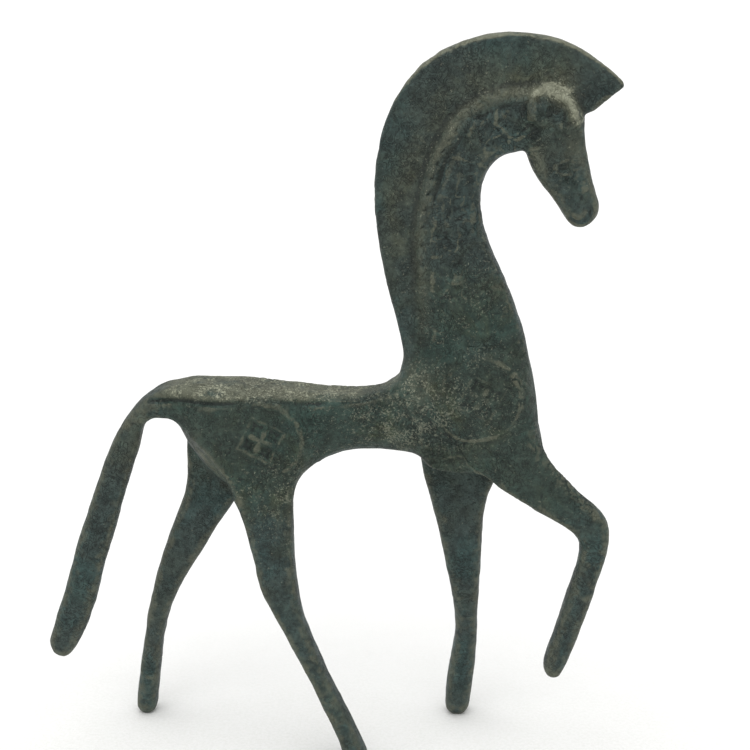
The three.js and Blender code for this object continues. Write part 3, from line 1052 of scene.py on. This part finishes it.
def speckle_group():
    """Pale mineral specks and threads, thick in some patches and thin in others."""
    group, tree, given, out = new_group(
        "mineral specks",
        [("Vector", VECTOR, None), ("Amount", FLOAT, 0.3)],
        [("Mask", FLOAT, None)],
    )
    vector, amount = given["Vector"], given["Amount"]
    patches = tree.ramp(tree.noise(vector, 330.0, 4.0, 0.75), 0.34, 0.62, 0.25, 1.0)
    amount = tree.times(amount, patches)
    grain = tree.noise(vector, 2500.0, 2.0, 0.6, 0.5)
    edge = tree.math("SUBTRACT", 0.76, tree.times(amount, 0.28))
    specks = tree.ramp(grain, edge, tree.math("ADD", edge, 0.07))
    wander = tree.math("ABSOLUTE", tree.math("SUBTRACT", tree.noise(vector, 900.0, 3.0, 0.6, 1.2), 0.5))
    thread = tree.ramp(wander, 0.040, 0.008)
    broken = tree.noise(vector, 1600.0, 2.0, 0.6)
    cut = tree.math("SUBTRACT", 0.66, tree.times(amount, 0.26))
    thread = tree.times(thread, tree.ramp(broken, cut, tree.math("ADD", cut, 0.10)))
    tree.join(tree.math("MAXIMUM", specks, tree.times(thread, 0.8)), out["Mask"])
    return group


def mottle_group():
    """Soft patches of colour on patches of colour."""
    group, tree, given, out = new_group(
        "patina mottle",
        [
            ("Vector", VECTOR, None), ("Ground", COLOUR, None), ("Teal", COLOUR, None),
            ("Umber", COLOUR, None), ("Umber Amount", FLOAT, 0.4),
        ],
        [("Color", COLOUR, None), ("Cloud", FLOAT, None)],
    )
    vector = given["Vector"]
    broad = tree.noise(vector, 70.0, 5.0, 0.62, 0.5)
    colour = tree.mix(tree.ramp(broad, 0.44, 0.66), given["Ground"], given["Teal"])
    brown = tree.noise(vector, 105.0, 5.0, 0.66, 0.8)
    colour = tree.mix(
        tree.times(tree.ramp(brown, 0.45, 0.66), given["Umber Amount"], clamp=True), colour, given["Umber"]
    )
    cloud = tree.noise(vector, 480.0, 5.0, 0.70, 0.4)
    grain = tree.noise(vector, 1900.0, 3.0, 0.7)
    shade = tree.times(tree.ramp(cloud, 0.30, 0.72, 0.64, 1.40), tree.ramp(grain, 0.30, 0.72, 0.79, 1.22))
    tint = tree.node("ShaderNodeCombineColor")
    for channel in ("Red", "Green", "Blue"):
        tree.join(shade, tint.inputs[channel])
    tree.join(tree.mix(1.0, colour, tint.outputs[0], "MULTIPLY"), out["Color"])
    tree.join(cloud, out["Cloud"])
    return group


def grain_group():
    """The height of the fine cast grain, with wandering tool strokes and small pits."""
    group, tree, given, out = new_group(
        "cast grain", [("Vector", VECTOR, None), ("Pits", FLOAT, 0.5), ("Strokes", FLOAT, 0.5)],
        [("Height", FLOAT, None), ("Groove", FLOAT, None)]
    )
    vector = given["Vector"]
    coarse = tree.noise(vector, 850.0, 5.0, 0.66, 0.3)
    pits = tree.ramp(tree.noise(vector, 1500.0, 2.0, 0.5, 0.6), 0.58, 0.70)
    wander = tree.math("ABSOLUTE", tree.math("SUBTRACT", tree.noise(vector, 620.0, 2.0, 0.5, 1.6), 0.5))
    groove = tree.times(tree.ramp(wander, 0.055, 0.005), given["Strokes"])
    sunk = tree.math("MAXIMUM", tree.times(pits, given["Pits"]), groove)
    tree.join(tree.math("SUBTRACT", coarse, tree.times(sunk, 0.6)), out["Height"])
    tree.join(sunk, out["Groove"])
    return group


def group_node(tree, name, build, **values):
    group = bpy.data.node_groups.get(name) or build()
    made = tree.node("ShaderNodeGroup", node_tree=group)
    for label, value in values.items():
        tree.feed(made.inputs[label.replace("_", " ")], value)
    return made.outputs


def bronze(name, patina, umber, wear_gain):
    """A patinated bronze: mottled ground, grime in the hollows and painted shade on one narrow face, olive
    brown and specks where it is rubbed, and painted highlights in the same olive brown.
    """
    material, tree, shader = new_material(name)
    where = tree.node("ShaderNodeTexCoord").outputs["Object"]
    crest, rub_and_painted_light, dust, moss, warm = (tree.attribute(label) for label in WEAR_AND_LIGHT_LAYERS)
    brown = tree.math("ADD", tree.times(tree.math("MAXIMUM", dust, rub_and_painted_light), 0.9), umber)
    mottle = group_node(
        tree, "patina mottle", mottle_group, Vector=where, Ground=tuple(patina.ground),
        Teal=tuple(patina.teal), Umber=tuple(patina.umber), Umber_Amount=brown,
    )
    cloud = mottle["Cloud"]
    colour = tree.mix(moss, mottle["Color"], (0.80, 0.85, 0.73, 1.0), "MULTIPLY")
    warm = tree.times(warm, tree.ramp(tree.noise(where, 120.0, 4.0, 0.6), 0.35, 0.60, 0.25, 1.0))
    colour = tree.mix(warm, colour, (1.55, 1.22, 0.98, 1.0), "MULTIPLY")
    strokes = tree.ramp(tree.noise(where, 150.0, 3.0, 0.6), 0.42, 0.60, 0.1, 1.0)
    grain = group_node(tree, "cast grain", grain_group, Vector=where, Pits=0.7, Strokes=strokes)

    # Grime in the hollows; where the crest was set low on the narrow face behind the thigh's edge, this is
    # painted shade.
    hollow = tree.math("MAXIMUM", tree.ramp(crest, 0.42, 0.16), tree.times(grain["Groove"], 0.6))
    colour = tree.mix(tree.times(hollow, 0.8), colour, tuple(patina.grime))

    broken = tree.noise(where, 300.0, 6.0, 0.74, 0.5)
    # Rubbed places, and the painted highlights and lifted shade carried along with them.
    handled_and_lit = tree.times(tree.times(rub_and_painted_light, 1.35), tree.ramp(broken, 0.28, 0.62), clamp=True)
    proud = tree.times(tree.ramp(crest, 0.63, 0.86), tree.ramp(broken, 0.34, 0.60, 0.22, wear_gain))
    wear_and_light = tree.math("MAXIMUM", handled_and_lit, proud, clamp=True)
    # The rubbed olive brown covers worn places and is also the colour of the painted highlights.
    colour = tree.mix(tree.times(wear_and_light, 0.85), colour, tuple(patina.rubbed))
    chalk = tree.times(tree.ramp(rub_and_painted_light, 0.95, 1.6, 0.0, 0.75), tree.ramp(broken, 0.30, 0.55, 0.35, 1.0))
    colour = tree.mix(chalk, colour, tuple(patina.dust))

    dots = group_node(tree, "mineral specks", speckle_group, Vector=where, Amount=dust)["Mask"]
    shown = tree.math("ADD", 0.40, tree.times(rub_and_painted_light, 0.50), clamp=True)
    colour = tree.mix(tree.times(dots, shown), colour, tuple(patina.dust))
    tree.join(colour, shader.inputs["Base Color"])

    rough = tree.ramp(cloud, 0.3, 0.75, 0.60, 0.42)
    rough = tree.math("SUBTRACT", rough, tree.times(wear_and_light, 0.05))
    tree.join(tree.math("ADD", rough, tree.times(dots, 0.15)), shader.inputs["Roughness"])
    tree.join(tree.times(wear_and_light, 0.2), shader.inputs["Metallic"])
    shader.inputs["Specular IOR Level"].default_value = 0.32

    tree.bump(grain["Height"], 1.0, 0.32 * MM, shader)
    return material


# --------------------------------------------------------------------------------------------------
# Parting the casting


def region_cutter(node, reach=1.8, lap=0.25):
    """A closed shape round one section: a lap past halfway across its joints, and well clear elsewhere."""
    bm, gaps, _ = section_blank(node, 2 * reach * MM)
    push(bm, [gap / 2 + lap * MM for gap in gaps])
    return remeshed(link("cutter", baked(bm, "cutter")), CUTTER_GRAIN)


def disc_cutter(node):
    """A round plug through one side, about an applied piece."""
    low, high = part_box(node)
    centre = (low + high) / 2
    side = side_of(node)
    depth = 6 * MM
    inner = low.y if side == LEFT else high.y
    bm = bmesh.new()
    place = Matrix.Translation((centre.x, inner + side * depth / 2, centre.z))
    place @= Matrix.Rotation(math.pi / 2, 4, "X")
    half = Vector(((high.x - low.x) / 2, (high.z - low.z) / 2))
    bmesh.ops.create_cone(
        bm, cap_ends=True, segments=48, radius1=half.x, radius2=half.x, depth=depth,
        matrix=place @ Matrix.Diagonal((1, half.y / half.x, 1, 1)),
    )
    bmesh.ops.triangulate(bm, faces=bm.faces)
    return link("cutter", baked(bm, "cutter"))


def cut(obj, cutter, operation):
    boolean = obj.modifiers.new("part", "BOOLEAN")
    boolean.operation = operation
    boolean.solver = "MANIFOLD"
    boolean.object = cutter
    return settle(obj)


def drop_crumbs(obj):
    """Leaves only the largest of a mesh's separate bodies, without the loose slivers of the cuts."""
    bm = bmesh.new()
    bm.from_mesh(obj.data)
    waiting = set(bm.verts)
    bodies = []
    while waiting:
        body = [waiting.pop()]
        for vert in body:
            for edge in vert.link_edges:
                other = edge.other_vert(vert)
                if other in waiting:
                    waiting.remove(other)
                    body.append(other)
        bodies.append(body)
    largest = max(bodies, key=len)
    crumbs = [vert for body in bodies if body is not largest for vert in body]
    bmesh.ops.delete(bm, geom=crumbs, context="VERTS")
    bm.to_mesh(obj.data)
    bm.free()


ORDER = (
    "right_eye", "left_eye", "right_ear", "left_ear",
    "right_haunch_medallion", "left_haunch_medallion", "right_shoulder_medallion", "left_shoulder_medallion",
    "mane", "right_hind_leg", "left_hind_leg", "right_foreleg", "left_foreleg", "tail", "head", "neck",
)
LAST = "trunk"


def finish_piece(obj, node, skin, finder, wear_and_light, material):
    """Carries the skin's own normals and its worn places and painted light and shade over to one section, so
    that no joint shows.
    """
    drop_crumbs(obj)
    mesh = obj.data
    mesh.materials.clear()
    mesh.materials.append(material)
    found = [finder.find(vert.co)[1:] for vert in mesh.vertices]
    nearest = np.array([index for index, _ in found])
    gaps = np.array([gap for _, gap in found])
    for name in WEAR_AND_LIGHT_LAYERS:
        if name in mesh.attributes:
            mesh.attributes.remove(mesh.attributes[name])
        mesh.attributes.new(name, "FLOAT", "POINT").data.foreach_set("value", wear_and_light[name][nearest])
    # Corners on the skin take its normals; corners on the faces inside a joint keep their own.
    corner = numbers(mesh.loops, "vertex_index", int)
    totals = numbers(mesh.polygons, "loop_total", int)
    starts = numbers(mesh.polygons, "loop_start", int)
    order = np.repeat(starts, totals) + np.arange(len(corner)) - np.repeat(np.cumsum(totals) - totals, totals)
    own = np.empty((len(corner), 3))
    own[order] = np.repeat(numbers(mesh.polygons, "normal", float, 3), totals, axis=0)
    normals = skin.normals[nearest][corner]
    inner = (np.einsum("ij,ij->i", normals, own) < 0.35) | (gaps[corner] > 0.6 * MM)
    normals[inner] = own[inner]
    mesh.shade_smooth()
    mesh.normals_split_custom_set(normals)
    obj.name = node + "_skin"
    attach(obj, BODY)
    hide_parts(node)


class HORSE_OT_part(Operator):
    """Part the skin along the founder's joints and patinate every section"""

    bl_idname = "horse.part"
    bl_label = "Part and patinate"

    def execute(self, context):
        patina = context.scene.horse_patina
        slots = {entry["node"]: entry["material_slot"] for entry in frame["record"]["subparts"]}
        materials = {
            "bronze": bronze("bronze", patina, 0.12, 0.8),
            "worn_bronze": bronze("worn_bronze", patina, 0.2, 0.95),
        }
        rest = bpy.data.objects[CASTING]
        skin = Skin()
        finder = KDTree(len(skin.points))
        for i, vert in enumerate(rest.data.vertices):
            finder.insert(vert.co, i)
        finder.balance()
        wear_and_light = {name: numbers(rest.data.attributes[name].data, "value", np.float32) for name in WEAR_AND_LIGHT_LAYERS}
        for node in ORDER:
            cutter = disc_cutter(node) if node.endswith(SMALL) else region_cutter(node)
            piece = cut(link(node + "_skin", rest.data.copy()), cutter, "INTERSECT")
            cut(rest, cutter, "DIFFERENCE")
            drop(cutter)
            finish_piece(piece, node, skin, finder, wear_and_light, materials[slots[node]])
        finish_piece(rest, LAST, skin, finder, wear_and_light, materials[slots[LAST]])
        return {"FINISHED"}


# --------------------------------------------------------------------------------------------------
# Stage


def sheet_material(colour):
    """A pale woven sheet, whose weave shows most just in front of the horse."""
    material, tree, shader = new_material("sheet")
    where = tree.node("ShaderNodeTexCoord").outputs["Object"]
    place = tree.node("ShaderNodeSeparateXYZ")
    tree.join(where, place.inputs[0])
    weave = tree.noise(where, 1500.0, 3.0, 0.7)
    folds = tree.noise(where, 110.0, 4.0, 0.6)
    front = tree.ramp(tree.math("ADD", place.outputs["Y"], tree.times(folds, 0.05)), 0.10, -0.02)
    tone = tree.times(front, tree.ramp(weave, 0.35, 0.66, 0.35, 1.0))
    tree.join(tree.mix(tone, tuple(colour), (0.84, 0.845, 0.815, 1)), shader.inputs["Base Color"])
    shader.inputs["Roughness"].default_value = 0.95
    shader.inputs["Specular IOR Level"].default_value = 0.1
    tree.bump(weave, 0.35, 0.3 * MM, shader)
    return material


def aimed(name, data, place, target):
    obj = link(name, data)
    obj.location = place
    obj.rotation_euler = (target - place).to_track_quat("-Z", "Y").to_euler()
    return obj


class HORSE_OT_stage(Operator):
    """Set up the camera, the soft white light and the sheet"""

    bl_idname = "horse.stage"
    bl_label = "Stage"

    def execute(self, context):
        studio = context.scene.horse_studio
        scene = context.scene
        aim = Vector((studio.ahead, MIDDLE * MM, studio.aim_height))
        back = Vector((
            math.sin(studio.azimuth) * math.cos(studio.elevation),
            -math.cos(studio.azimuth) * math.cos(studio.elevation),
            math.sin(studio.elevation),
        ))
        camera = bpy.data.cameras.new("camera")
        camera.angle = studio.field
        camera.clip_start = 0.01
        camera.clip_end = 20
        scene.camera = aimed("camera", camera, aim + back * studio.distance, aim)

        bm = bmesh.new()
        bmesh.ops.create_grid(bm, x_segments=2, y_segments=2, size=4.0)
        mesh = baked(bm, "sheet")
        mesh.materials.append(sheet_material(studio.sheet))
        floor = link("sheet", mesh)

        world = bpy.data.worlds.new("surroundings")
        world.use_nodes = True
        world.node_tree.nodes["Background"].inputs["Color"].default_value = (1, 1, 1, 1)
        world.node_tree.nodes["Background"].inputs["Strength"].default_value = studio.sky
        scene.world = world
        sun = bpy.data.lights.new("overhead", "SUN")
        sun.energy = studio.key
        sun.angle = studio.spread
        aimed("overhead", sun, Vector((-0.05, -0.12, 0.6)), Vector())
        scene.view_settings.view_transform = "Standard"
        return {"FINISHED"}


# --------------------------------------------------------------------------------------------------
# Add-on

OPERATORS = (
    HORSE_OT_pour,
    HORSE_OT_trunk,
    HORSE_OT_neck,
    HORSE_OT_head,
    HORSE_OT_legs,
    HORSE_OT_mane,
    HORSE_OT_tail,
    HORSE_OT_medallions,
    HORSE_OT_surface,
    HORSE_OT_part,
    HORSE_OT_stage,
)
GROUPS = {
    "horse_casting": CastingSettings,
    "horse_relief": ReliefSettings,
    "horse_patina": PatinaSettings,
    "horse_studio": StudioSettings,
}


class HORSE_PT_panel(Panel):
    """Lists the steps in order, with their settings"""

    bl_idname = "HORSE_PT_panel"
    bl_label = "Bronze horse"
    bl_space_type = "VIEW_3D"
    bl_region_type = "UI"
    bl_category = "Bronze horse"

    def draw(self, context):
        for operator in OPERATORS:
            self.layout.operator(operator.bl_idname)
        for name, group in GROUPS.items():
            box = self.layout.box()
            for setting in group.__annotations__:
                box.prop(getattr(context.scene, name), setting)


def register():
    for cls in (*GROUPS.values(), *OPERATORS, HORSE_PT_panel):
        bpy.utils.register_class(cls)
    for name, group in GROUPS.items():
        setattr(bpy.types.Scene, name, PointerProperty(type=group))


def unregister():
    for name in GROUPS:
        delattr(bpy.types.Scene, name)
    for cls in (HORSE_PT_panel, *reversed(OPERATORS), *GROUPS.values()):
        bpy.utils.unregister_class(cls)


def main():
    """Runs every step in order."""
    register()
    for operator in OPERATORS:
        group, name = operator.bl_idname.split(".")
        getattr(getattr(bpy.ops, group), name)()


if __name__ == "__main__":
    main()
